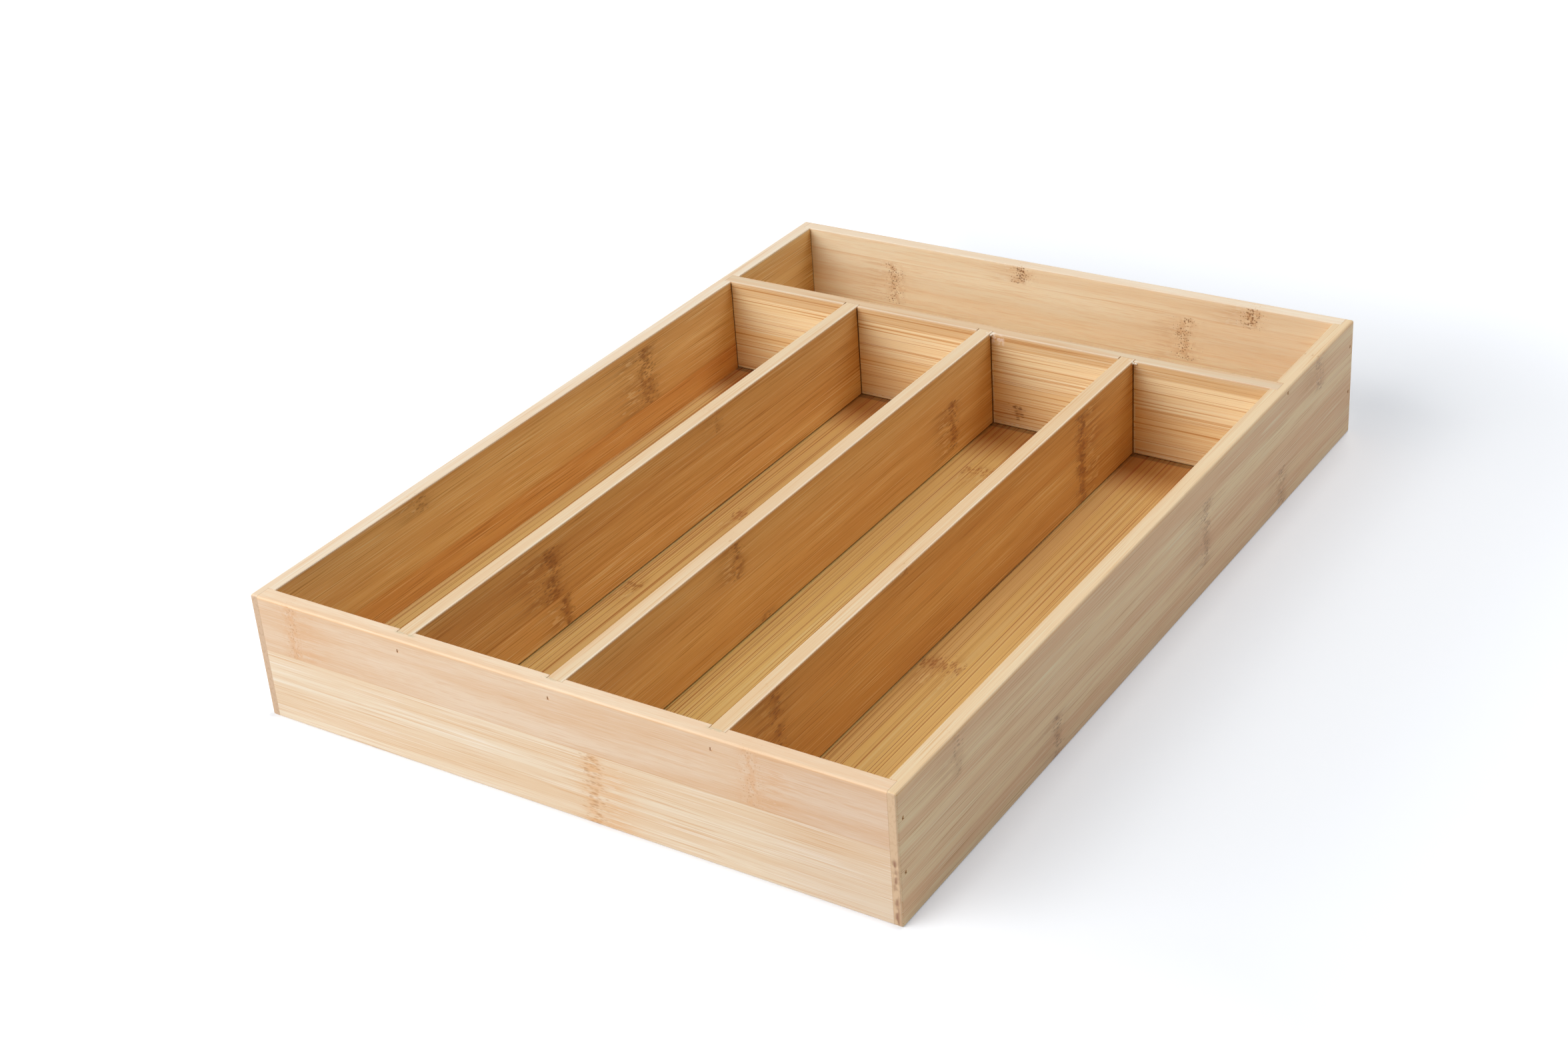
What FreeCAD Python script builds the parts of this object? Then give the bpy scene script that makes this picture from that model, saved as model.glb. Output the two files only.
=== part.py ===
"""Bamboo cutlery tray: four long compartments in front of one compartment across the back.

Four rails make the frame, joined at the corners by rebates in the side rails. A bottom panel floats in a
groove round the frame. A cross divider is housed in the side rails, and three lengthwise dividers are
housed in the front rail and in the cross divider. Glue and brads hold the joints.

Frame: the origin is the middle of the tray's underside, +X to the right, +Y to the back, +Z up.
"""
import FreeCAD
import Part
import Sketcher
import os

# Driving dimensions in millimetres: name, value and what it measures.
SIZES = (
    ("tray_width", 250.0, "outside width, across the long compartments"),
    ("tray_length", 350.0, "outside length, front to back"),
    ("tray_height", 48.0, "height of the rails"),
    ("rail_thickness", 6.0, "stock of the four rails"),
    ("divider_thickness", 6.0, "stock of the lengthwise dividers"),
    ("cross_thickness", 6.0, "stock of the cross divider"),
    ("rear_compartment", 56.0, "clear length behind the cross divider"),
    ("corner_rebate_depth", 3.0, "depth of the rebates at the ends of the side rails"),
    ("cross_housing_depth", 3.0, "depth of the cross divider's housings in the side rails"),
    ("front_housing_depth", 2.0, "depth of the dividers' housings in the front rail"),
    ("rear_housing_depth", 2.0, "depth of the dividers' housings in the cross divider"),
    ("housing_clearance", 0.2, "slack across the width of each housing in the rails"),
    ("rear_housing_clearance", 0.6, "slack across the width of each housing in the cross divider"),
    ("panel_thickness", 4.0, "stock of the bottom panel"),
    ("panel_lift", 4.5, "underside of the panel above the rails' lower edges"),
    ("panel_groove_depth", 3.0, "depth of the panel's groove in the rails"),
    ("panel_edge_clearance", 0.5, "room at each edge of the panel to swell"),
    ("floor_clearance", 0.5, "gap between the dividers and the panel"),
    ("outer_easing", 0.8, "radius of the sanded outer edges"),
    ("inner_easing", 0.3, "radius of the sanded inner top edges"),
    ("brad_width", 1.0, "flat wire of a brad, across"),
    ("brad_thickness", 0.8, "flat wire of a brad, upright"),
    ("brad_length", 15.0, "whole length of a brad"),
    ("brad_head_height", 1.3, "head of a brad, upright, as wide as the wire"),
    ("brad_head_thickness", 0.4, "thickness of a brad's head"),
    ("brad_set_depth", 0.4, "depth of a brad's head below the wood"),
    ("corner_brad_drop", 10.0, "upper brad of a corner below the top edge"),
    ("corner_brad_rise", 18.6, "lower brad of a corner above the underside"),
    ("divider_brad_drop", 4.4, "brads in the dividers' ends below the top edge"),
    ("cross_brad_drop", 2.0, "brads in the cross divider's ends below the top edge"),
)

# Lengthwise dividers from left to right: they set how many long compartments there are.
DIVIDERS = ("left_divider", "centre_divider", "right_divider")

# Sizes that follow from the driving dimensions, as expressions.
CLEAR_WIDTH = "(Sizes.tray_width - 2 * Sizes.rail_thickness)"
CLEAR_LENGTH = "(Sizes.tray_length - 2 * Sizes.rail_thickness)"
COMPARTMENT = f"(({CLEAR_WIDTH} - {len(DIVIDERS)} * Sizes.divider_thickness) / {len(DIVIDERS) + 1})"
TONGUE = "(Sizes.rail_thickness - Sizes.corner_rebate_depth)"
END_RAIL_LENGTH = f"({CLEAR_WIDTH} + 2 * Sizes.corner_rebate_depth)"
CROSS_LENGTH = f"({CLEAR_WIDTH} + 2 * Sizes.cross_housing_depth)"
BEHIND_CROSS = "(Sizes.rail_thickness + Sizes.rear_compartment)"
CROSS_FRONT = f"(Sizes.tray_length - {BEHIND_CROSS} - Sizes.cross_thickness)"
FLOOR = "(Sizes.panel_lift + Sizes.panel_thickness)"
DIVIDER_BASE = f"({FLOOR} + Sizes.floor_clearance)"
DIVIDER_HEIGHT = f"(Sizes.tray_height - {DIVIDER_BASE})"
DIVIDER_LENGTH = (
    f"({CROSS_FRONT} - Sizes.rail_thickness + Sizes.front_housing_depth + Sizes.rear_housing_depth)"
)
BRAD_REACH = "(Sizes.brad_set_depth + Sizes.brad_length)"
CORNER_BRAD_HEIGHTS = ("(Sizes.tray_height - Sizes.corner_brad_drop)", "Sizes.corner_brad_rise")

ZERO = "0"
X_AXIS = FreeCAD.Vector(1, 0, 0)
Y_AXIS = FreeCAD.Vector(0, 1, 0)
Z_AXIS = FreeCAD.Vector(0, 0, 1)

# Share of the smallest driving dimension within which an edge counts as lying on a face.
FACE_TOLERANCE_SHARE = 0.01

doc = FreeCAD.newDocument("cutlery_tray")


def divider_offset(index):
    """Give the distance from a side rail's inner face to the near face of a lengthwise divider."""
    return f"({index + 1} * {COMPARTMENT} + {index} * Sizes.divider_thickness)"


def add_sheet():
    """Write the driving dimensions into a spreadsheet, one named row each."""
    sheet = doc.addObject("Spreadsheet::Sheet", "Sizes")
    for row, (name, value, meaning) in enumerate(SIZES, start=1):
        sheet.set(f"A{row}", name)
        sheet.set(f"B{row}", str(value))
        sheet.setAlias(f"B{row}", name)
        sheet.set(f"C{row}", meaning)
    doc.recompute()
    return sheet


sizes = add_sheet()
face_tolerance = FACE_TOLERANCE_SHARE * min(value for _, value, _ in SIZES)


def measure(expression):
    """Give the present value of an expression."""
    return float(sizes.evalExpression(expression))


def bind_constraint(sketch, kind, places, expression):
    """Add a dimension between places of a sketch that follows an expression."""
    index = sketch.addConstraint(Sketcher.Constraint(kind, *places, measure(expression)))
    sketch.setExpression(f"Constraints[{index}]", expression)


def fix_point(sketch, geometry, point, x, y):
    """Hold a point of a sketch at two distances from the sketch's origin."""
    origin, horizontal_axis, vertical_axis = (-1, 1), -1, -2
    if x == ZERO:
        sketch.addConstraint(Sketcher.Constraint("PointOnObject", geometry, point, vertical_axis))
    else:
        bind_constraint(sketch, "DistanceX", (*origin, geometry, point), x)
    if y == ZERO:
        sketch.addConstraint(Sketcher.Constraint("PointOnObject", geometry, point, horizontal_axis))
    else:
        bind_constraint(sketch, "DistanceY", (*origin, geometry, point), y)


def add_rectangle(sketch, x, y, width, height):
    """Add a rectangle with its near corner at (x, y); all four are expressions."""
    left, low = measure(x), measure(y)
    right, high = left + measure(width), low + measure(height)
    corners = [FreeCAD.Vector(*place) for place in ((left, low), (right, low), (right, high), (left, high))]
    first = sketch.GeometryCount
    for corner, following in zip(corners, corners[1:] + corners[:1]):
        sketch.addGeometry(Part.LineSegment(corner, following), False)
    start, end = 1, 2
    bottom, right_side, top, left_side = range(first, first + len(corners))
    for line, following in ((bottom, right_side), (right_side, top), (top, left_side), (left_side, bottom)):
        sketch.addConstraint(Sketcher.Constraint("Coincident", line, end, following, start))
    for line in (bottom, top):
        sketch.addConstraint(Sketcher.Constraint("Horizontal", line))
    for line in (right_side, left_side):
        sketch.addConstraint(Sketcher.Constraint("Vertical", line))
    bind_constraint(sketch, "DistanceX", (bottom, start, bottom, end), width)
    bind_constraint(sketch, "DistanceY", (right_side, start, right_side, end), height)
    fix_point(sketch, bottom, start, x, y)


def add_brad_outline(sketch, x, y, height):
    """Add the outline of a brad's wire or head, upright and with its middle at (x, y)."""
    corner = (f"({x} - Sizes.brad_width / 2)", f"({y} - {height} / 2)")
    add_rectangle(sketch, *corner, "Sizes.brad_width", height)


class Board:
    """A straight board: length along x, thickness along y from its outer face, height along z."""

    def __init__(self, label, length, thickness, height):
        self.label = label
        self.length = length
        self.thickness = thickness
        self.height = height
        self.body = doc.addObject("PartDesign::Body", label)
        self.body.Label = label
        section = self.sketch("section", "YZ_Plane", ZERO)
        add_rectangle(section, ZERO, ZERO, thickness, height)
        blank = self.feature("PartDesign::Pad", "blank", section)
        blank.setExpression("Length", length)
        self.settle(blank)

    def sketch(self, name, plane, offset):
        """Start a sketch on one of the board's own planes, moved along its normal."""
        sketch = self.body.newObject("Sketcher::SketchObject", f"{self.label}_{name}_sketch")
        support = next(item for item in self.body.Origin.OriginFeatures if item.Role == plane)
        sketch.AttachmentSupport = [(support, "")]
        sketch.MapMode = "FlatFace"
        if offset != ZERO:
            sketch.setExpression("AttachmentOffset.Base.z", offset)
        return sketch

    def feature(self, kind, name, profile):
        """Start a feature on a sketch of this board."""
        feature = self.body.newObject(kind, f"{self.label}_{name}")
        feature.Profile = profile
        return feature

    def settle(self, feature):
        """Work the board out again with the feature as its last step."""
        self.body.Tip = feature
        doc.recompute()

    def settle_cut(self, feature):
        """Work out a cut, and stop if it took no wood away."""
        before = self.body.Shape.Volume
        self.settle(feature)
        if not self.body.Shape.Volume < before:
            raise RuntimeError(f"{feature.Name} cuts nothing")

    def ease(self, name, radius, chosen):
        """Round the edges that a test picks by the board's own extents."""
        base = self.body.Tip
        extents = (measure(self.length), measure(self.thickness), measure(self.height))
        names = []
        for index, edge in enumerate(base.Shape.Edges, start=1):
            ends = [tuple(vertex.Point) for vertex in edge.Vertexes]
            at_low = [all(abs(end[axis]) < face_tolerance for end in ends) for axis in range(3)]
            at_high = [
                all(abs(end[axis] - extents[axis]) < face_tolerance for end in ends) for axis in range(3)
            ]
            if chosen(at_low, at_high):
                names.append(f"Edge{index}")
        easing = self.body.newObject("PartDesign::Fillet", f"{self.label}_{name}")
        easing.Base = (base, names)
        easing.setExpression("Radius", radius)
        self.settle_cut(easing)

    def ease_long_edges(self):
        """Round the long outer edges, and the inner top edge more finely."""
        self.ease("outer_easing", "Sizes.outer_easing", lambda low, high: low[1] and (low[2] or high[2]))
        self.ease("inner_easing", "Sizes.inner_easing", lambda low, high: high[1] and high[2])

    def ease_outer_face(self):
        """Round all edges of the outer face and of the ends' tops and bottoms, and the inner top edge."""

        def on_outside(low, high):
            at_end, on_rim = low[0] or high[0], low[2] or high[2]
            return (low[1] and (at_end or on_rim)) or (at_end and on_rim)

        self.ease("outer_easing", "Sizes.outer_easing", on_outside)
        self.ease("inner_easing", "Sizes.inner_easing", lambda low, high: high[1] and high[2])

    def ease_top(self):
        """Round both long top edges finely."""
        self.ease("top_easing", "Sizes.inner_easing", lambda low, high: (low[1] or high[1]) and high[2])

    def cut_from(self, name, base, rectangles, rise=None):
        """Cut rectangles, seen from above, upwards from a height: right through, or by a given rise."""
        plan = self.sketch(name, "XY_Plane", base)
        for rectangle in rectangles:
            add_rectangle(plan, *rectangle)
        cut = self.feature("PartDesign::Pocket", name, plan)
        cut.Reversed = True
        if rise is None:
            cut.Type = "ThroughAll"
        else:
            cut.setExpression("Length", rise)
        self.settle_cut(cut)

    def groove_for_panel(self, end_margin):
        """Cut the panel's groove in the inner face, stopped short of both ends by a margin."""
        near = f"({self.thickness} - Sizes.panel_groove_depth)"
        run = f"({self.length} - 2 * {end_margin})"
        groove = (end_margin, near, run, "Sizes.panel_groove_depth")
        self.cut_from("panel_groove", "Sizes.panel_lift", [groove], "Sizes.panel_thickness")

    def rebate_ends(self):
        """Cut a rebate across each end of the inner face, as wide as the rail that it takes."""
        near = f"({self.thickness} - Sizes.corner_rebate_depth)"
        far_end = f"({self.length} - Sizes.rail_thickness)"
        rebates = [(start, near, "Sizes.rail_thickness", "Sizes.corner_rebate_depth") for start in (ZERO, far_end)]
        self.cut_from("end_rebates", ZERO, rebates)

    def house(self, base, starts, thickness, depth, clearance):
        """Cut housings in the inner face, open at the top, for boards of a given thickness."""
        near = f"({self.thickness} - {depth})"
        width = f"({thickness} + {clearance})"
        housings = [(f"({start} - {clearance} / 2)", near, width, depth) for start in starts]
        self.cut_from("housings", base, housings)

    def pierce_face(self, places):
        """Pierce the board from its outer face for brads, with a recess for each head."""
        wires = self.sketch("brad_holes", "XZ_Plane", ZERO)
        for x, z in places:
            add_brad_outline(wires, x, z, "Sizes.brad_thickness")
        holes = self.feature("PartDesign::Pocket", "brad_holes", wires)
        holes.Type = "ThroughAll"
        self.settle_cut(holes)
        heads = self.sketch("brad_recesses", "XZ_Plane", ZERO)
        for x, z in places:
            add_brad_outline(heads, x, z, "Sizes.brad_head_height")
        recesses = self.feature("PartDesign::Pocket", "brad_recesses", heads)
        recesses.setExpression("Length", "Sizes.brad_set_depth + Sizes.brad_head_thickness")
        self.settle_cut(recesses)

    def pierce_end(self, name, at_start, heights, depth):
        """Pierce the middle of one end for the brads that come through the board it meets."""
        wires = self.sketch(name, "YZ_Plane", ZERO if at_start else self.length)
        for z in heights:
            add_brad_outline(wires, f"{self.thickness} / 2", z, "Sizes.brad_thickness")
        holes = self.feature("PartDesign::Pocket", name, wires)
        holes.Reversed = at_start
        holes.setExpression("Length", depth)
        self.settle_cut(holes)

    def place(self, quarter_turns, x, y, z):
        """Turn the board about +Z by quarter turns and put its near corner at a place in the tray."""
        self.body.Placement = FreeCAD.Placement(FreeCAD.Vector(), FreeCAD.Rotation(Z_AXIS, 90 * quarter_turns))
        for axis, expression in zip("xyz", (x, y, z)):
            self.body.setExpression(f"Placement.Base.{axis}", expression)


def add_side_rail(label, quarter_turns, x, y, cross_start):
    """Make a full-length side rail, with the cross divider's housing at a distance from its near end."""
    rail = Board(label, "Sizes.tray_length", "Sizes.rail_thickness", "Sizes.tray_height")
    rail.ease_outer_face()
    rail.groove_for_panel("Sizes.rail_thickness")
    rail.rebate_ends()
    depth, clearance = "Sizes.cross_housing_depth", "Sizes.housing_clearance"
    rail.house(FLOOR, [cross_start], "Sizes.cross_thickness", depth, clearance)
    corner_places = ("(Sizes.rail_thickness / 2)", "(Sizes.tray_length - Sizes.rail_thickness / 2)")
    brads = [(place, height) for place in corner_places for height in CORNER_BRAD_HEIGHTS]
    cross_middle = f"({cross_start} + Sizes.cross_thickness / 2)"
    brads.append((cross_middle, "(Sizes.tray_height - Sizes.cross_brad_drop)"))
    rail.pierce_face(brads)
    rail.place(quarter_turns, x, y, ZERO)
    return rail.body


def add_end_rail(label, quarter_turns, x, y, takes_dividers):
    """Make a front or back rail, whose ends sit in the side rails' rebates."""
    rail = Board(label, END_RAIL_LENGTH, "Sizes.rail_thickness", "Sizes.tray_height")
    rail.ease_long_edges()
    rail.groove_for_panel(ZERO)
    if takes_dividers:
        starts = [f"(Sizes.corner_rebate_depth + {divider_offset(i)})" for i in range(len(DIVIDERS))]
        depth, clearance = "Sizes.front_housing_depth", "Sizes.housing_clearance"
        rail.house(FLOOR, starts, "Sizes.divider_thickness", depth, clearance)
        height = "(Sizes.tray_height - Sizes.divider_brad_drop)"
        rail.pierce_face([(f"({start} + Sizes.divider_thickness / 2)", height) for start in starts])
    brad_depth = f"({BRAD_REACH} - {TONGUE})"
    rail.pierce_end("near_end_brads", True, CORNER_BRAD_HEIGHTS, brad_depth)
    rail.pierce_end("far_end_brads", False, CORNER_BRAD_HEIGHTS, brad_depth)
    rail.place(quarter_turns, x, y, ZERO)
    return rail.body


def add_cross_divider():
    """Make the cross divider: its back is the outer face, and its front takes the lengthwise dividers."""
    board = Board("cross_divider", CROSS_LENGTH, "Sizes.cross_thickness", DIVIDER_HEIGHT)
    board.ease_top()
    starts = [f"(Sizes.cross_housing_depth + {divider_offset(i)})" for i in range(len(DIVIDERS))]
    depth, clearance = "Sizes.rear_housing_depth", "Sizes.rear_housing_clearance"
    board.house(ZERO, starts, "Sizes.divider_thickness", depth, clearance)
    height = f"({DIVIDER_HEIGHT} - Sizes.divider_brad_drop)"
    board.pierce_face([(f"({start} + Sizes.divider_thickness / 2)", height) for start in starts])
    end_heights = [f"({DIVIDER_HEIGHT} - Sizes.cross_brad_drop)"]
    brad_depth = f"({BRAD_REACH} - Sizes.rail_thickness + Sizes.cross_housing_depth)"
    board.pierce_end("near_end_brad", True, end_heights, brad_depth)
    board.pierce_end("far_end_brad", False, end_heights, brad_depth)
    board.place(2, f"{CROSS_LENGTH} / 2", f"Sizes.tray_length / 2 - {BEHIND_CROSS}", DIVIDER_BASE)
    return board.body


def add_divider(index):
    """Make a lengthwise divider, housed in the front rail and in the cross divider."""
    board = Board(DIVIDERS[index], DIVIDER_LENGTH, "Sizes.divider_thickness", DIVIDER_HEIGHT)
    board.ease_top()
    heights = [f"({DIVIDER_HEIGHT} - Sizes.divider_brad_drop)"]
    front_depth = f"({BRAD_REACH} - Sizes.rail_thickness + Sizes.front_housing_depth)"
    rear_depth = f"({BRAD_REACH} - Sizes.cross_thickness + Sizes.rear_housing_depth)"
    board.pierce_end("front_brad", True, heights, front_depth)
    board.pierce_end("rear_brad", False, heights, rear_depth)
    right_face = f"{divider_offset(index)} + Sizes.divider_thickness - {CLEAR_WIDTH} / 2"
    front_end = "Sizes.rail_thickness - Sizes.front_housing_depth - Sizes.tray_length / 2"
    board.place(1, right_face, front_end, DIVIDER_BASE)
    return board.body


def add_bottom_panel():
    """Make the bottom panel, which fills the groove's height and stays clear of its back."""
    grip = "2 * (Sizes.panel_groove_depth - Sizes.panel_edge_clearance)"
    width, length = f"({CLEAR_WIDTH} + {grip})", f"({CLEAR_LENGTH} + {grip})"
    panel = Board("bottom_panel", width, length, "Sizes.panel_thickness")
    panel.place(0, f"-{width} / 2", f"-{length} / 2", "Sizes.panel_lift")
    return panel.body


def add_brad_block(name, upright, length):
    """Make a block as wide as a brad's wire, centred on the line that the brad is driven along."""
    block = doc.addObject("Part::Box", name)
    block.setExpression("Length", upright)
    block.setExpression("Width", "Sizes.brad_width")
    block.setExpression("Height", length)
    block.setExpression("Placement.Base.x", f"-{upright} / 2")
    block.setExpression("Placement.Base.y", "-Sizes.brad_width / 2")
    return block


def add_brad(name, direction, place):
    """Make one brad with the middle of its head's top at a place, driven along a direction."""
    brad = doc.addObject("Part::Fuse", name)
    brad.Base = add_brad_block(f"{name}_wire", "Sizes.brad_thickness", "Sizes.brad_length")
    brad.Tool = add_brad_block(f"{name}_head", "Sizes.brad_head_height", "Sizes.brad_head_thickness")
    brad.Refine = True
    across = Z_AXIS.cross(direction)
    turn = FreeCAD.Rotation(Z_AXIS, -across, direction, "ZXY")
    brad.Placement = FreeCAD.Placement(FreeCAD.Vector(), turn)
    for axis, expression in zip("xyz", place):
        brad.setExpression(f"Placement.Base.{axis}", expression)
    return brad


def add_brad_group(label, brads):
    """Gather brads, each given by its direction and place, into one node of separate solids."""
    group = doc.addObject("Part::Compound", label)
    group.Label = label
    group.Links = [
        add_brad(f"{label}_{number}", direction, place)
        for number, (direction, place) in enumerate(brads, start=1)
    ]
    return group


def side_brads(y, heights):
    """Give brads driven inwards from both side faces at one place along the tray."""
    inset = "Sizes.tray_width / 2 - Sizes.brad_set_depth"
    return [
        (direction, (place, y, height))
        for direction, place in ((X_AXIS, f"-({inset})"), (-X_AXIS, inset))
        for height in heights
    ]


def divider_brads(direction, y):
    """Give brads driven into one end of every lengthwise divider."""
    height = "Sizes.tray_height - Sizes.divider_brad_drop"
    middles = [
        f"{divider_offset(i)} + (Sizes.divider_thickness - {CLEAR_WIDTH}) / 2" for i in range(len(DIVIDERS))
    ]
    return [(direction, (middle, y, height)) for middle in middles]


def build():
    """Make every piece of the tray and give them in order."""
    half_width, half_length = "Sizes.tray_width / 2", "Sizes.tray_length / 2"
    end_rail_half = f"{END_RAIL_LENGTH} / 2"
    rail_middle = f"{half_length} - Sizes.rail_thickness / 2"
    cross_back = f"{half_length} - {BEHIND_CROSS}"
    cross_height = "Sizes.tray_height - Sizes.cross_brad_drop"
    pieces = [
        add_side_rail("left_rail", -1, f"-{half_width}", half_length, BEHIND_CROSS),
        add_side_rail("right_rail", 1, half_width, f"-{half_length}", CROSS_FRONT),
        add_end_rail("front_rail", 0, f"-{end_rail_half}", f"-{half_length}", True),
        add_end_rail("back_rail", 2, end_rail_half, half_length, False),
        add_bottom_panel(),
        add_cross_divider(),
    ]
    pieces += [add_divider(index) for index in range(len(DIVIDERS))]
    pieces += [
        add_brad_group("front_corner_brads", side_brads(f"-({rail_middle})", CORNER_BRAD_HEIGHTS)),
        add_brad_group("back_corner_brads", side_brads(rail_middle, CORNER_BRAD_HEIGHTS)),
        add_brad_group(
            "cross_divider_brads", side_brads(f"{cross_back} - Sizes.cross_thickness / 2", [cross_height])
        ),
        add_brad_group("divider_front_brads", divider_brads(Y_AXIS, f"Sizes.brad_set_depth - {half_length}")),
        add_brad_group("divider_rear_brads", divider_brads(-Y_AXIS, f"{cross_back} - Sizes.brad_set_depth")),
    ]
    doc.recompute()
    return pieces


def check(pieces):
    """Stop if any step failed, or a piece has no sound solid."""
    for item in doc.Objects:
        if "Invalid" in item.State or "Error" in item.State:
            raise RuntimeError(f"{item.Name} failed: {item.State}")
    for piece in pieces:
        shape = piece.Shape
        if shape.isNull() or not shape.isValid() or not shape.Solids:
            raise RuntimeError(f"{piece.Label} has no sound solid")


def export(pieces):
    """Write each piece to its own file."""
    os.makedirs("parts", exist_ok=True)
    for piece in pieces:
        piece.Shape.exportStep(f"parts/{piece.Label}.step")
        print(f"{piece.Label}: {len(piece.Shape.Solids)} solids, {piece.Shape.Volume:.1f} mm3")


tray_pieces = build()
check(tray_pieces)
export(tray_pieces)
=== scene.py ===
"""Looks of the bamboo cutlery tray: its bamboo, brads and glue, the studio and the camera.

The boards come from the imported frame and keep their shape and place.  A finish gives its
lengths in millimetres, as they would be measured on the tray; meshes, lamps and the camera
are in metres.
"""
import logging
import math
from dataclasses import dataclass
from enum import Enum
from typing import Mapping, Optional, Union

import bpy
import numpy as np
from mathutils import Matrix, Vector


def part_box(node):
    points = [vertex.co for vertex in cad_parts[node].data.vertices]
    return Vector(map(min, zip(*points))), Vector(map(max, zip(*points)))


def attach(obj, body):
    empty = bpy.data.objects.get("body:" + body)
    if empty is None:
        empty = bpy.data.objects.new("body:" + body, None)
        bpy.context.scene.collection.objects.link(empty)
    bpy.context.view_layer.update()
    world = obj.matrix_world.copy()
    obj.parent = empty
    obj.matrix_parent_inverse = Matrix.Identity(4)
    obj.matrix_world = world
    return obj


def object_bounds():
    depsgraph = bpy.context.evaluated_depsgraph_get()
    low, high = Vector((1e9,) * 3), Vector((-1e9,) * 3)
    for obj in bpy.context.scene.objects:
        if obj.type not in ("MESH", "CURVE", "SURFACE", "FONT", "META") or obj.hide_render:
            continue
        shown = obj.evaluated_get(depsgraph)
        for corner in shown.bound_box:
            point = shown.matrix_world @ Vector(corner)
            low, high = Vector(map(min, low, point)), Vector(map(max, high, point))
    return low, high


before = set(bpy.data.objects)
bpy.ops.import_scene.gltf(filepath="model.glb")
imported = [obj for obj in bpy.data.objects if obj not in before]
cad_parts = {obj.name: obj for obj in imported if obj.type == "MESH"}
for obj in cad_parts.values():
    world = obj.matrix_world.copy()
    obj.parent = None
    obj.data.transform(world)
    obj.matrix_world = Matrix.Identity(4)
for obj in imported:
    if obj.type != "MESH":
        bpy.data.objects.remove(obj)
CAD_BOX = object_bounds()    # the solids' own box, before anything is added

LOG = logging.getLogger("cutlery_tray")
MILLIMETRES = 1000.0
NOISE_MIDDLE = 0.5
CODE_PLACES = (1, 3, 5)
CODE_MOST = 255
SRGB_TOE = 0.04045
SRGB_SLOPE = 12.92
SRGB_OFFSET = 0.055
SRGB_POWER = 2.4

Colour = tuple[float, float, float]
Number = Union["Field", float]
Wire = Union["Field", bpy.types.NodeSocket, float, int, tuple]


def linear(code: str) -> Colour:
    """Turns a display colour into linear light.

    Args:
        code: a hash and six hexadecimal digits, such as "#ecbc79".

    Returns:
        Red, green and blue, each from 0 to 1.
    """
    shares = (int(code[place:place + 2], 16) / CODE_MOST for place in CODE_PLACES)
    return tuple(share / SRGB_SLOPE if share <= SRGB_TOE else
                 ((share + SRGB_OFFSET) / (1 + SRGB_OFFSET)) ** SRGB_POWER for share in shares)


@dataclass(frozen=True)
class Field:
    """A number that varies over a surface; each operator on it adds a Math node."""

    shader: "Shader"
    socket: bpy.types.NodeSocket

    NEAR_POWER = -2.0

    def __add__(self, other: Number) -> "Field":
        """This plus the other."""
        return self.shader.math("ADD", self, other)

    def __radd__(self, other: float) -> "Field":
        """The other plus this."""
        return self.shader.math("ADD", other, self)

    def __sub__(self, other: Number) -> "Field":
        """This less the other."""
        return self.shader.math("SUBTRACT", self, other)

    def __rsub__(self, other: float) -> "Field":
        """The other less this."""
        return self.shader.math("SUBTRACT", other, self)

    def __mul__(self, other: Number) -> "Field":
        """This times the other."""
        return self.shader.math("MULTIPLY", self, other)

    def __rmul__(self, other: float) -> "Field":
        """The other times this."""
        return self.shader.math("MULTIPLY", other, self)

    def __truediv__(self, other: Number) -> "Field":
        """This divided by the other."""
        return self.shader.math("DIVIDE", self, other)

    def __rtruediv__(self, other: float) -> "Field":
        """The other divided by this."""
        return self.shader.math("DIVIDE", other, self)

    def __pow__(self, other: Number) -> "Field":
        """This raised to the other."""
        return self.shader.math("POWER", self, other)

    def __rpow__(self, other: float) -> "Field":
        """The other raised to this."""
        return self.shader.math("POWER", other, self)

    def __abs__(self) -> "Field":
        """This without its sign."""
        return self.shader.math("ABSOLUTE", self)

    def most(self, other: Number) -> "Field":
        """The larger of this and the other."""
        return self.shader.math("MAXIMUM", self, other)

    def rise(self, low: Number, high: Number) -> "Field":
        """Goes smoothly from 0 to 1, or falls from 1 to 0 where high is the smaller limit.

        Args:
            low: where the result is 0.
            high: where the result is 1.

        Returns:
            The smooth step.
        """
        limits = {"Value": self, "From Min": low, "From Max": high}
        node = self.shader.node("MapRange", {"interpolation_type": "SMOOTHSTEP"}, limits)
        return Field(self.shader, node.outputs["Result"])

    def near(self, middle: float, reach: float) -> "Field":
        """1 at the middle, fading as the square of 1 / (1 + the distance in reaches, squared)."""
        away = (self - middle) / reach
        return (1 + away * away) ** self.NEAR_POWER


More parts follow.
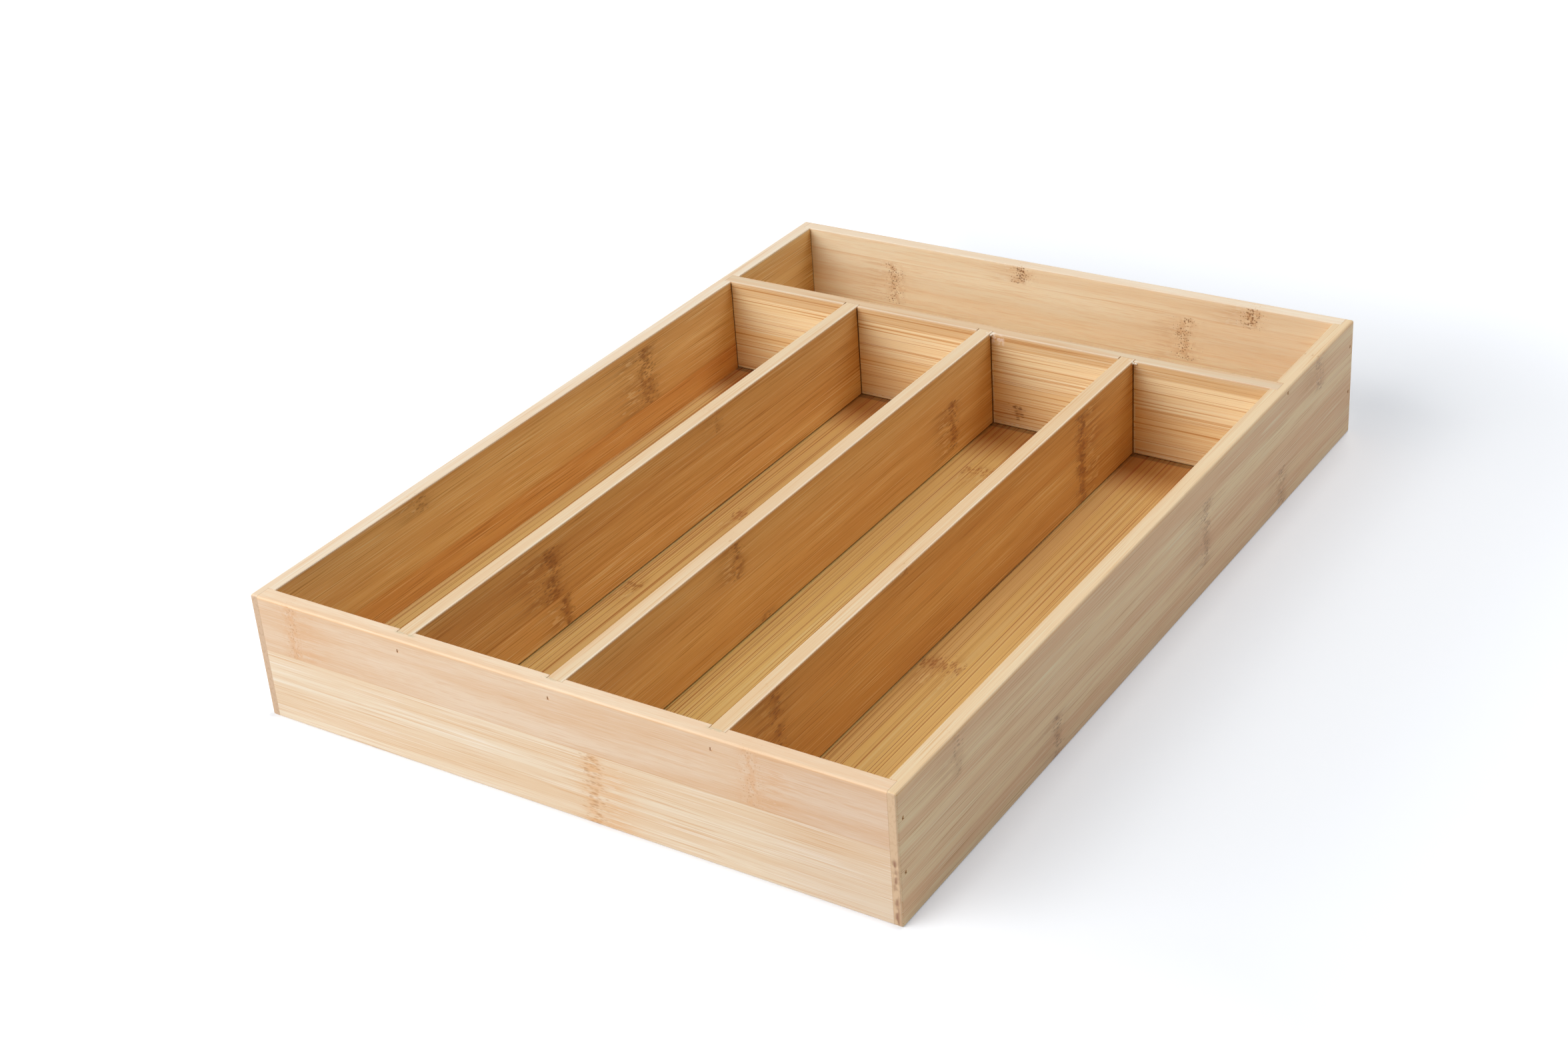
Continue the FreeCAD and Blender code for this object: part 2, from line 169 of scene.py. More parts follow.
class Shader:
    """A node tree that is written as expressions."""

    MIX_UNDER = 6
    MIX_OVER = 7
    MIX_COLOUR = 2

    def __init__(self, tree: bpy.types.NodeTree) -> None:
        """Takes over a tree and empties it.

        Args:
            tree: the node tree of a material or a world.
        """
        self.tree = tree
        self.tree.nodes.clear()

    def node(self, kind: str, settings: Mapping[str, object], sockets: Mapping) -> bpy.types.Node:
        """Adds a node, with its settings first and then its sockets.

        Args:
            kind: the node's type without its ShaderNode prefix.
            settings: properties of the node by name.
            sockets: a value or a link for each socket, by name or number.

        Returns:
            The new node.
        """
        node = self.tree.nodes.new("ShaderNode" + kind)
        for name, value in settings.items():
            setattr(node, name, value)
        for key, value in sockets.items():
            self.feed(node.inputs[key], value)
        return node

    def feed(self, socket: bpy.types.NodeSocket, value: Wire) -> None:
        """Links a field or an output to a socket, or sets the socket's own value.

        Args:
            socket: the input to feed.
            value: a field, an output, a number, a vector or a colour.
        """
        if isinstance(value, Field):
            self.tree.links.new(value.socket, socket)
        elif isinstance(value, bpy.types.NodeSocket):
            self.tree.links.new(value, socket)
        elif socket.type == "RGBA":
            socket.default_value = (*value, 1.0)
        else:
            socket.default_value = value

    def math(self, operation: str, *values: Number) -> Field:
        """Adds a Math node on the values and gives its result."""
        node = self.node("Math", {"operation": operation}, dict(enumerate(values)))
        return Field(self, node.outputs[0])

    def mix(self, under: Wire, over: Wire, share: Number, blend: str = "MIX") -> bpy.types.NodeSocket:
        """Lays one colour over another.

        Args:
            under: the colour below.
            over: the colour above.
            share: how much of the upper colour shows, from 0 to 1.
            blend: Blender's name of the way the colours are put together.

        Returns:
            The mixed colour.
        """
        sockets = {0: share, self.MIX_UNDER: under, self.MIX_OVER: over}
        node = self.node("Mix", {"data_type": "RGBA", "blend_type": blend}, sockets)
        return node.outputs[self.MIX_COLOUR]

    def vector(self, x: Number, y: Number, z: Number) -> bpy.types.NodeSocket:
        """Joins three numbers into a vector."""
        return self.node("CombineXYZ", {}, {0: x, 1: y, 2: z}).outputs[0]

    def place(self) -> tuple[Field, Field, Field]:
        """The point on the object.

        Returns:
            Its three coordinates as fields, in millimetres.
        """
        point = self.node("TexCoord", {}, {}).outputs["Object"]
        scaled = self.node("VectorMath", {"operation": "SCALE"}, {0: point, "Scale": MILLIMETRES})
        split = self.node("SeparateXYZ", {}, {0: scaled.outputs[0]})
        return tuple(Field(self, split.outputs[axis]) for axis in range(3))

    def noise(self, point: bpy.types.NodeSocket, layer: "Layer", seed: float) -> Field:
        """Noise stretched to a layer's marks.

        Args:
            point: along, across and through the board, in millimetres.
            layer: the size of the marks.
            seed: moves the pattern, so that no two boards are alike.

        Returns:
            A field of about 0.3 to 0.7, with 0.5 in the middle.
        """
        sockets = {"Vector": self.stretched(point, layer, seed), "Scale": 1.0, "Detail": layer.detail}
        return Field(self, self.node("TexNoise", {}, sockets).outputs[0])

    def stretched(self, point: bpy.types.NodeSocket, layer: "Layer", seed: float) -> bpy.types.NodeSocket:
        """The point measured in a layer's marks, and moved by the seed.

        Args:
            point: along, across and through the board, in millimetres.
            layer: the size of the marks.
            seed: moves the pattern.

        Returns:
            The vector that a texture reads.
        """
        scale = (1 / layer.along, 1 / layer.across, 1 / layer.through)
        sockets = {0: point, 1: scale, 2: (seed, seed, seed)}
        return self.node("VectorMath", {"operation": "MULTIPLY_ADD"}, sockets).outputs[0]

    def dots(self, point: bpy.types.NodeSocket, layer: "Layer", seed: float) -> tuple[Field, Field]:
        """Scattered dots, one for each cell of a layer.

        Args:
            point: along, across and through the board, in millimetres.
            layer: the size of the cells.
            seed: moves the pattern.

        Returns:
            The distance to the nearest dot in cells, and that dot's own random number.
        """
        sockets = {"Vector": self.stretched(point, layer, seed), "Scale": 1.0}
        cells = self.node("TexVoronoi", {}, sockets)
        chance = self.node("SeparateColor", {}, {0: cells.outputs["Color"]}).outputs[0]
        return Field(self, cells.outputs["Distance"]), Field(self, chance)


def new_material(name: str) -> tuple[bpy.types.Material, Shader]:
    """Makes an empty material.

    Args:
        name: what the material is called.

    Returns:
        The material and the shader that fills it.
    """
    material = bpy.data.materials.new(name)
    material.use_nodes = True
    return material, Shader(material.node_tree)


def dress(node: str, material: bpy.types.Material) -> None:
    """Puts a material on every slot of a board or group of the frame.

    Args:
        node: the node's name in the frame.
        material: the finish that it gets.
    """
    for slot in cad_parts[node].material_slots:
        slot.material = material
    LOG.info("%s: %s", node, material.name)


class Grain(Enum):
    """The way that a board's fibres run, with the axes along, across and through it."""

    ALONG_X = (0, 2, 1)
    ALONG_Y = (1, 2, 0)
    ALONG_Y_FLAT = (1, 0, 2)


@dataclass(frozen=True)
class Layer:
    """The size in millimetres of one layer of marks: along, across and through the board."""

    along: float
    across: float
    through: float
    detail: float = 1.0


@dataclass(frozen=True)
class Sawing:
    """The layers that show on a board, by the way its strips were turned when it was pressed."""

    bands: Layer
    streaks: Layer
    threads: Layer
    fibres: Layer
    lamella: Optional[float] = None


class Cut(Enum):
    """Wide strips laid flat side by side, or narrow strips laid on edge, coarse or fine."""

    FLAT = Sawing(Layer(320.0, 8.0, 5.0), Layer(150.0, 1.7, 1.7, 2.0), Layer(42.0, 0.38, 0.38),
                  Layer(16.0, 0.27, 0.27))
    EDGE = Sawing(Layer(400.0, 3.0, 6.0), Layer(240.0, 0.7, 4.0, 2.0), Layer(200.0, 0.36, 3.0),
                  Layer(45.0, 0.25, 2.0), 5.4)
    FINE = Sawing(Layer(260.0, 2.4, 6.0), Layer(150.0, 0.75, 3.0, 2.0), Layer(110.0, 0.36, 3.0),
                  Layer(35.0, 0.22, 2.0), 4.4)


@dataclass(frozen=True)
class Tones:
    """The colours of one bamboo surface, and how strongly each kind of mark shows."""

    ground: str
    deep: str
    pale: str
    line: str
    knuckle: str
    freckle: str
    pit: str
    bands: float = 0.7
    streaks: float = 0.5
    lines: float = 0.6
    stains: float = 0.5
    flecks: float = 0.2
    freckles: float = 0.7
    pits: float = 0.7


@dataclass(frozen=True)
class Strip:
    """One strip of a board: its upper side in millimetres, its tints, how clear its lines are and how
    many times shorter its marks are.
    """

    top: float
    inner: str = "#ffffff"
    outer: str = "#ffffff"
    lines: float = 1.0
    pace: float = 1.0


@dataclass(frozen=True)
class Knuckle:
    """A ring of the culm that crosses a strip, in millimetres along and across the board."""

    at: float
    low: float
    high: float
    strength: float = 1.0
    reach: float = 6.0
    lean: float = -1.0

    SOFT = 0.6
    HALO_REACHES = 1.8
    HALO_SHIFT = 1.2

    def masks(self, along: Field, across: Field) -> tuple[Field, Field]:
        """The ring, and the wide stain that leans to one side of it.

        Args:
            along: the place along the board, wavy where the ring is.
            across: the place across the board.

        Returns:
            The ring and the stain, each from 0 to 1.
        """
        below = across.rise(self.low - self.SOFT, self.low + self.SOFT)
        above = across.rise(self.high + self.SOFT, self.high - self.SOFT)
        shown = below * above * self.strength
        ring = along.near(self.at, self.reach)
        halo = along.near(self.at + self.lean * self.HALO_SHIFT * self.reach, self.HALO_REACHES * self.reach)
        return ring * shown, halo * shown


@dataclass(frozen=True)
class Marks:
    """Everything that the grain draws on a board, each from 0 to 1."""

    band: Field
    streak: Field
    line: Field
    pale: Field
    stain: Field
    fleck: Field
    freckle: Field
    pit: Field
    relief: Field

    def colour(self, shader: Shader, tones: Tones) -> bpy.types.NodeSocket:
        """Lays the marks over each other in a surface's tones.

        Args:
            shader: the shader that the marks are in.
            tones: the colours of the surface.

        Returns:
            The colour of the surface.
        """
        colour = shader.mix(linear(tones.ground), linear(tones.deep), self.band * tones.bands)
        colour = shader.mix(colour, linear(tones.deep), self.streak * tones.streaks)
        colour = shader.mix(colour, linear(tones.pale), self.pale * tones.lines)
        colour = shader.mix(colour, linear(tones.line), self.line * tones.lines)
        colour = shader.mix(colour, linear(tones.knuckle), self.stain * tones.stains)
        colour = shader.mix(colour, linear(tones.pale), self.fleck * tones.flecks)
        colour = shader.mix(colour, linear(tones.freckle), self.freckle * tones.freckles)
        return shader.mix(colour, linear(tones.pit), self.pit * tones.pits)


@dataclass(frozen=True)
class EndGrain:
    """The sawn ends of a rail's tongues: cut fibre bundles, darker below a height at the front."""

    ground: str
    dot: str
    dark: str
    dark_below: float = 0.0
    dark_at: float = 0.0

    BUNDLES = Layer(60.0, 1.4, 0.9)
    DOT_RAMP = (0.5, 0.66)
    DOT_SHARE = 0.35
    SMEARS = Layer(60.0, 3.0, 2.0)
    SMEAR_RAMP = (0.36, 0.6)
    SMEAR_SEED = 0.7
    DARK_SOFT = 1.0
    DARK_REACH = 1.0
    DARK_SHARE = 0.75
    FADE_FROM = 0.3
    FADE_TO = 0.1

    def lay(self, shader: Shader, under: bpy.types.NodeSocket, along: Field, across: Field, through: Field,
            half: float) -> bpy.types.NodeSocket:
        """Lays the end grain over a rail's colour at both of its ends.

        Args:
            shader: the rail's shader.
            under: the rail's colour.
            along: the place along the rail, in millimetres.
            across: the place across the rail.
            through: the place through the rail.
            half: half the rail's length.

        Returns:
            The rail's colour with its ends.
        """
        point = shader.vector(along, across, through)
        dots = shader.noise(point, self.BUNDLES, 0.0).rise(*self.DOT_RAMP)
        colour = shader.mix(linear(self.ground), linear(self.dot), dots * self.DOT_SHARE)
        soft = self.DARK_SOFT
        dark = across.rise(self.dark_below + soft, self.dark_below - soft) * along.rise(soft, -soft)
        dark = dark * through.near(self.dark_at, self.DARK_REACH) * self.DARK_SHARE
        smears = shader.noise(point, self.SMEARS, self.SMEAR_SEED).rise(*self.SMEAR_RAMP) * dark
        colour = shader.mix(colour, linear(self.dark), smears)
        return shader.mix(under, colour, abs(along).rise(half - self.FADE_FROM, half - self.FADE_TO))


@dataclass(frozen=True)
class GlueFilm:
    """A thin film of dried glue: its middle and half sizes in millimetres, its colour and strength."""

    middle: tuple[float, float, float]
    half: tuple[float, float, float]
    colour: str
    strength: float = 0.8

    BROKEN = Layer(1.6, 1.6, 1.6, 2.0)
    BROKEN_RAMP = (0.42, 0.56)
    SOLID_SHARE = 0.55

    def lay(self, shader: Shader, under: bpy.types.NodeSocket, place: tuple[Field, Field, Field]
            ) -> bpy.types.NodeSocket:
        """Lays the film over a colour, with a broken outline.

        Args:
            shader: the shader to draw in.
            under: the colour below.
            place: the point in millimetres.

        Returns:
            The colour with the film on it.
        """
        broken = shader.noise(shader.vector(*place), self.BROKEN, self.middle[0])
        shown = broken.rise(*self.BROKEN_RAMP) * self.strength
        for at, middle, half in zip(place, self.middle, self.half):
            shown = shown * abs(at - middle).rise(half, half * self.SOLID_SHARE)
        return shader.mix(under, linear(self.colour), shown)


@dataclass(frozen=True)
class PaintedShade:
    """Painted shade: a dark line in the gap where a board meets another, or a wide and faint painted
    darkening of a board. Its axis, place and reach are in millimetres; it has a share and a tone.
    """

    axis: int
    at: float
    reach: float = 0.5
    share: float = 0.8
    tone: str = "#33190a"

    CORE = 0.35
    UNDER = 47.4
    SOFT = 0.6

    def lay(self, shader: Shader, under: bpy.types.NodeSocket, place: tuple[Field, Field, Field]
            ) -> bpy.types.NodeSocket:
        """Lays the painted shade over a colour, below the board's top.

        Args:
            shader: the shader to draw in.
            under: the colour below.
            place: the point in millimetres.

        Returns:
            The colour with the painted shade on it.
        """
        shown = abs(place[self.axis] - self.at).rise(self.reach, self.reach * self.CORE) * self.share
        below = place[2].rise(self.UNDER, self.UNDER - self.SOFT)
        return shader.mix(under, linear(self.tone), shown * below)


@dataclass(frozen=True)
class BoardFinish:
    """The bamboo of one board, with its strips from the lowest up and its knuckles."""

    name: str
    grain: Grain
    cut: Cut
    inner: Tones
    outer: Tones
    top: Optional[Tones]
    strips: tuple[Strip, ...]
    knuckles: tuple[Knuckle, ...]
    seed: float
    # top_tint: each board's tint of its top, partly the board's own tone and partly painted sheen that
    # differs by board.
    top_tint: str = "#f5e9d6"
    ends: Optional[EndGrain] = None
    films: tuple[GlueFilm, ...] = ()
    # joints and inner_marks are painted shade: dark lines in the gaps where boards meet, and wide faint
    # darkening; the inner_marks lie on the inner faces only.
    joints: tuple[PaintedShade, ...] = ()
    inner_marks: tuple[PaintedShade, ...] = ()
    rim: float = 0.0
    # glint: the place through the board of a painted highlight that runs along one edge of the top.
    glint: Optional[float] = None

    JOINT_TONE = "#a5794c"
    JOINT_WIDTH = 0.35
    JOINT_SHARE = 0.5
    RIM_TONE = "#e6b176"
    RIM_DROP = 0.6
    RIM_REACH = 0.5
    # The painted highlight along one edge of a board's top.
    GLINT_TONE = "#fffaf0"
    GLINT_REACH = 0.3
    GLINT_SHARE = 0.4
    BAND_RAMP = (0.36, 0.64)
    STREAK_RAMP = (0.42, 0.66)
    FIBRE_SHARE = 0.7
    LINE_RAMP = (0.58, 0.7)
    PALE_RAMP = (0.42, 0.32)
    LAMELLA_SHARE = 0.7
    LAMELLA_RANDOM = 0.8
    LAMELLA_SEAM_RAMP = (0.3, 0.08)
    LAMELLA_BREAK_RAMP = (0.4, 0.55)
    LAMELLA_LINE_RAMP = (0.62, 0.69)
    WANDER = Layer(120.0, 16.0, 16.0)
    WANDER_BY = 1.2
    RING_WANDER = Layer(40.0, 4.0, 9.0, 2.0)
    RING_WANDER_BY = 5.5
    SPECKS = Layer(2.4, 0.75, 1.3)
    SPECK_REACH = 0.62
    SPECK_SPREAD = 0.3
    FRECKLE_RAMP = (-0.2, 0.14)
    PIT_RAMP = (0.1, 0.3)
    PIT_CHANCE_RAMP = (0.6, 0.4)
    FLECKS = Layer(6.0, 1.0, 1.0)
    FLECK_SPREAD = 0.26
    FLECK_RAMP = (0.05, 0.13)
    BLOTCHES = Layer(8.0, 3.0, 3.0)
    BLOTCH_RAMP = (0.36, 0.6)
    CLOUD_LEAST = 0.2
    CLOUD_STREAK_SHARE = 0.6
    SEAM_SOFT = 0.12
    SEAM_WIDTH = 0.25
    SEAM_WANDER_SHARE = 0.3
    SEAM_BREAK_RAMP = (0.4, 0.6)
    STRIP_SHIFT = 137.0
    LAMELLA_SHIFT = 400.0
    TOP_START = 0.9
    TOP_FULL = 0.3
    ROUGHNESS = 0.5
    ROUGHNESS_SPREAD = 0.25
    FIBRE_RELIEF_SHARE = 0.4
    THREAD_RELIEF_SHARE = 0.4
    STREAK_RELIEF_SHARE = 0.2
    FRECKLE_DENT_SHARE = 0.4
    RELIEF = 0.0001
    RELIEF_STRENGTH = 0.6

    def stepped(self, across: Field, values: tuple[float, ...]) -> Number:
        """A number that has its own value on each strip.

        Args:
            across: the place across the board, in millimetres.
            values: one value for each strip, from the lowest up.

        Returns:
            The number, which jumps at each seam.
        """
        result: Number = values[0]
        for strip, before, after in zip(self.strips, values, values[1:]):
            step = across.rise(strip.top - self.SEAM_SOFT, strip.top + self.SEAM_SOFT)
            result = step * (after - before) + result
        return result

    def rings(self, shader: Shader, point: bpy.types.NodeSocket, along: Field, across: Field
              ) -> tuple[Field, Field]:
        """All the board's knuckles together, with a waver in their line.

        Args:
            shader: the shader to draw in.
            point: the place in the board.
            along: the place along the fibres.
            across: the place across the strips.

        Returns:
            The rings and the stains beside them, each from 0 to 1.
        """
        waver = shader.noise(point, self.RING_WANDER, self.seed) - NOISE_MIDDLE
        ring_at = waver * self.RING_WANDER_BY + along
        ring, stain = self.knuckles[0].masks(ring_at, across)
        for knuckle in self.knuckles[1:]:
            next_ring, next_stain = knuckle.masks(ring_at, across)
            ring, stain = ring.most(next_ring), stain.most(next_stain)
        return ring, stain

    def marks(self, shader: Shader, along: Field, across: Field, through: Field) -> Marks:
        """Draws the grain: bands, streaks, fibre lines, seams, rings and their freckles.

        Args:
            shader: the shader to draw in.
            along: the place along the fibres, in millimetres.
            across: the place across the strips, in millimetres.
            through: the place through the board, in millimetres.

        Returns:
            The marks.
        """
        sawing = self.cut.value
        point = shader.vector(along, across, through)
        wander = (shader.noise(point, self.WANDER, self.seed) - NOISE_MIDDLE) * self.WANDER_BY
        gain = self.stepped(across, tuple(strip.lines for strip in self.strips))
        pace = self.stepped(across, tuple(strip.pace for strip in self.strips))
        tone: Number = 0.0
        seam: Number = 0.0
        if sawing.lamella:
            cells = {"W": across / sawing.lamella + self.seed, "Scale": 1.0,
                     "Randomness": self.LAMELLA_RANDOM}
            cell = shader.node("TexVoronoi", {"voronoi_dimensions": "1D"}, cells)
            kind = {"voronoi_dimensions": "1D", "feature": "DISTANCE_TO_EDGE"}
            rim = shader.node("TexVoronoi", kind, cells)
            split = shader.node("SeparateColor", {}, {0: cell.outputs["Color"]})
            tone = Field(shader, split.outputs[0])
            shift = tone * self.LAMELLA_SHIFT
            seam = (Field(shader, rim.outputs["Distance"]) * sawing.lamella).rise(*self.LAMELLA_SEAM_RAMP)
        else:
            shift = self.stepped(across, tuple(self.STRIP_SHIFT * n for n in range(len(self.strips))))
        grain = shader.vector(along * pace + shift, across + wander, through)
        bands = shader.noise(grain, sawing.bands, self.seed)
        streaks = shader.noise(grain, sawing.streaks, self.seed)
        threads = shader.noise(grain, sawing.threads, self.seed)
        fibres = shader.noise(grain, sawing.fibres, self.seed)
        ring, stain = self.rings(shader, point, along, across)
        band = bands.rise(*self.BAND_RAMP)
        streak = ((fibres - NOISE_MIDDLE) * self.FIBRE_SHARE + streaks).rise(*self.STREAK_RAMP)
        line = threads.rise(*self.LINE_RAMP) * gain
        if sawing.lamella:
            band = tone * self.LAMELLA_SHARE + band * (1 - self.LAMELLA_SHARE)
            line = line.most(seam * streaks.rise(*self.LAMELLA_BREAK_RAMP))
            line = line.most(streaks.rise(*self.LAMELLA_LINE_RAMP) * gain)
        for strip in self.strips[:-1]:
            seam_line = (wander * self.SEAM_WANDER_SHARE + across).near(strip.top, self.SEAM_WIDTH)
            line = line.most(seam_line * streaks.rise(*self.SEAM_BREAK_RAMP))
        away, chance = shader.dots(grain, self.SPECKS, self.seed)
        speck = ring * self.SPECK_REACH - chance * self.SPECK_SPREAD - away
        flecks = shader.noise(grain, self.FLECKS, self.seed) - NOISE_MIDDLE
        fleck = (flecks + (stain - 1) * self.FLECK_SPREAD).rise(*self.FLECK_RAMP)
        blotch = shader.noise(grain, self.BLOTCHES, self.seed).rise(*self.BLOTCH_RAMP)
        freckle = speck.rise(*self.FRECKLE_RAMP)
        pit = speck.rise(*self.PIT_RAMP) * chance.rise(*self.PIT_CHANCE_RAMP)
        cloud = ((streak * self.CLOUD_STREAK_SHARE + self.CLOUD_LEAST) * stain).most(blotch * ring)
        relief = fibres * self.FIBRE_RELIEF_SHARE + threads * self.THREAD_RELIEF_SHARE
        relief = relief + streaks * self.STREAK_RELIEF_SHARE - freckle * self.FRECKLE_DENT_SHARE
        pale = threads.rise(*self.PALE_RAMP) * gain
        return Marks(band, streak, line, pale, cloud, fleck, freckle, pit, relief)

    def tinted(self, shader: Shader, colour: bpy.types.NodeSocket, across: Field, tints: tuple[str, ...]
               ) -> bpy.types.NodeSocket:
        """Gives each strip its own tint.

        Args:
            shader: the shader to draw in.
            colour: the colour that is tinted.
            across: the place across the strips.
            tints: one tint for each strip, from the lowest up.

        Returns:
            The tinted colour.
        """
        tint: Wire = linear(tints[0])
        for strip, upper in zip(self.strips, tints[1:]):
            step = across.rise(strip.top - self.SEAM_SOFT, strip.top + self.SEAM_SOFT)
            tint = shader.mix(tint, linear(upper), step)
        return shader.mix(colour, tint, 1.0, "MULTIPLY")

    def material(self, node: str) -> bpy.types.Material:
        """Makes the board's material.

        Args:
            node: the board's name in the frame, which gives the places of its faces.

        Returns:
            The material.
        """
        material, shader = new_material(self.name)
        low, high = (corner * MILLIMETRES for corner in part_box(node))
        place = shader.place()
        along, across, through = (place[axis] for axis in self.grain.value)
        long, _, thick = self.grain.value
        marks = self.marks(shader, along, across, through)
        core = (low[thick] + high[thick]) / 2
        outward = math.copysign(1.0, core)
        outside = (through - core).rise(-outward, outward)
        inner_tints = tuple(strip.inner for strip in self.strips)
        outer_tints = tuple(strip.outer for strip in self.strips)
        inner = self.tinted(shader, marks.colour(shader, self.inner), across, inner_tints)
        # Painted shade on the inner faces only.
        for mark in self.inner_marks:
            inner = mark.lay(shader, inner, place)
        outer = self.tinted(shader, marks.colour(shader, self.outer), across, outer_tints)
        colour = shader.mix(inner, outer, outside)
        # The top takes its own paler tones: partly the edge grain's colour and partly painted light where
        # the tops face the lamps.
        if self.top:
            top = place[2].rise(high[2] - self.TOP_START, high[2] - self.TOP_FULL)
            crown = shader.mix(marks.colour(shader, self.top), linear(self.top_tint), 1.0, "MULTIPLY")
            # A painted highlight along one edge of the top.
            if self.glint is not None:
                bright = through.near(self.glint, self.GLINT_REACH) * self.GLINT_SHARE
                crown = shader.mix(crown, linear(self.GLINT_TONE), bright)
            colour = shader.mix(colour, crown, top)
        if self.rim:
            edge = place[2].near(high[2] - self.RIM_DROP, self.RIM_REACH) * outside * self.rim
            colour = shader.mix(colour, linear(self.RIM_TONE), edge)
        middle = (low[long] + high[long]) / 2
        half = (high[long] - low[long]) / 2
        if self.ends:
            colour = self.ends.lay(shader, colour, along, across, through, half)
        else:
            joint = abs(along - middle).rise(half - self.JOINT_WIDTH, half) * self.JOINT_SHARE
            colour = shader.mix(colour, linear(self.JOINT_TONE), joint)
        # The painted shade of the joints, then the films of dried glue.
        for mark in (*self.joints, *self.films):
            colour = mark.lay(shader, colour, place)
        rough = (marks.relief - NOISE_MIDDLE) * self.ROUGHNESS_SPREAD + self.ROUGHNESS
        height = {"Strength": self.RELIEF_STRENGTH, "Distance": self.RELIEF, "Height": marks.relief}
        bump = shader.node("Bump", {}, height)
        sockets = {"Base Color": colour, "Roughness": rough, "Normal": bump.outputs[0]}
        surface = shader.node("BsdfPrincipled", {}, sockets)
        shader.node("OutputMaterial", {}, {"Surface": surface.outputs[0]})
        return material


INSIDE = Tones("#edc27b", "#dda962", "#f8e0a5", "#b97d38", "#ad753c", "#915a2b", "#6b3c1c", lines=0.7,
               stains=0.8, flecks=0.45, freckles=0.55, pits=0.3)
LEFT = Tones("#f1ca86", "#e1b06c", "#fde9b4", "#b9813c", "#ad7940", "#915d2e", "#6b3e1f", lines=0.7,
             stains=0.8, flecks=0.45, freckles=0.55, pits=0.3)
OUTSIDE = Tones("#e4d2b8", "#dcbd98", "#ece2d6", "#ce9d6a", "#d9a874", "#c08d5a", "#96683f", lines=0.5,
                stains=0.75, freckles=0.5, pits=0.25)
# SHADED: a copy of the outer bamboo for the right rail's outer face, which lies in shade; its colours are
# tuned to the light on that face, so they are partly painted light.
SHADED = Tones("#f1ddb5", "#e5c199", "#f1e9cc", "#ca9f6f", "#c1976d", "#a97c52", "#7f5839", bands=0.9,
               lines=0.65, stains=0.6, freckles=0.45, pits=0.35)
# TOP: the paler tones of the tops, partly the edge grain's own colour and partly painted light where the
# tops face the lamps.
TOP = Tones("#f3e4cc", "#ecd2b2", "#f3f0e2", "#deb582", "#e7c8a4", "#cda06d", "#a5723e", lines=0.55,
            stains=0.4, freckles=0.5, pits=0.4)
FLOOR = Tones("#eed07f", "#e7c588", "#f1dda1", "#b26c1c", "#b77b32", "#a7631d", "#794210", bands=0.8,
              streaks=0.3, lines=0.85, flecks=0.6, freckles=0.6, pits=0.2)
CROSS = Tones("#f9e7be", "#e9c68e", "#f8f0d6", "#c98a42", "#b9814a", "#895728", "#4b2911", lines=0.75)
BACK = Tones("#f9e9c8", "#f1cfa3", "#f9eedd", "#d99d59", "#cc975f", "#975e2c", "#472812", bands=0.45,
             streaks=0.4, lines=0.5, freckles=0.6, pits=0.6)

GLUE = "#d9c6a4"
DRY_GLUE = "#f4ead8"
PINK_GLUE = "#f0dccb"
FILM_DEPTH = 1.0
FRONT_FILM_WIDTH = 0.75
SPECK_DROP = 0.6
SPECK_HALF = (2.2, 1.5, 1.4)
GLUE_LINE_OFF = 0.7
GLUE_LINE_HALF = (0.4, FILM_DEPTH, 23.0)
GLUE_LINE_STRENGTH = 0.7
DIVIDER_MIDDLES = (-61.0, 0.0, 61.0)
HALF_DIVIDER = 3.0
FRONT_HOUSING = -171.0
CROSS_FACE = 107.0
INNER_SIDE = 119.0
FOOT = 9.0
RIM = 48.0
OUTER_SIDE = 125.0
# Tones of painted shade.
WARM_SHADE = "#a04408"
RED_SHADE = "#b02a14"
# Painted shade: a dark line in the gap along a board's foot over the floor, and, for the dividers, one where
# they meet the cross divider.
FOOT_SHADE = PaintedShade(2, FOOT, 0.2, 0.6)
DIVIDER_SHADES = (PaintedShade(1, CROSS_FACE), FOOT_SHADE)


def front_film(middle: float, half: float) -> GlueFilm:
    """The film round a divider's front end, in the rail's top.

    Args:
        middle: the film's middle across the tray.
        half: half its length.

    Returns:
        The film.
    """
    return GlueFilm((middle, FRONT_HOUSING, RIM), (half, FRONT_FILM_WIDTH, FILM_DEPTH), GLUE)


def corner_films(middle: float) -> tuple[GlueFilm, ...]:
    """The dry glue where a divider meets the cross divider: a speck on top and a line down the corner.

    Args:
        middle: the divider's middle across the tray.

    Returns:
        The films.
    """
    face = middle + HALF_DIVIDER
    speck = GlueFilm((face, CROSS_FACE, RIM - SPECK_DROP), SPECK_HALF, DRY_GLUE)
    place = (face + GLUE_LINE_OFF, CROSS_FACE, RIM / 2)
    line = GlueFilm(place, GLUE_LINE_HALF, DRY_GLUE, GLUE_LINE_STRENGTH)
    return speck, line


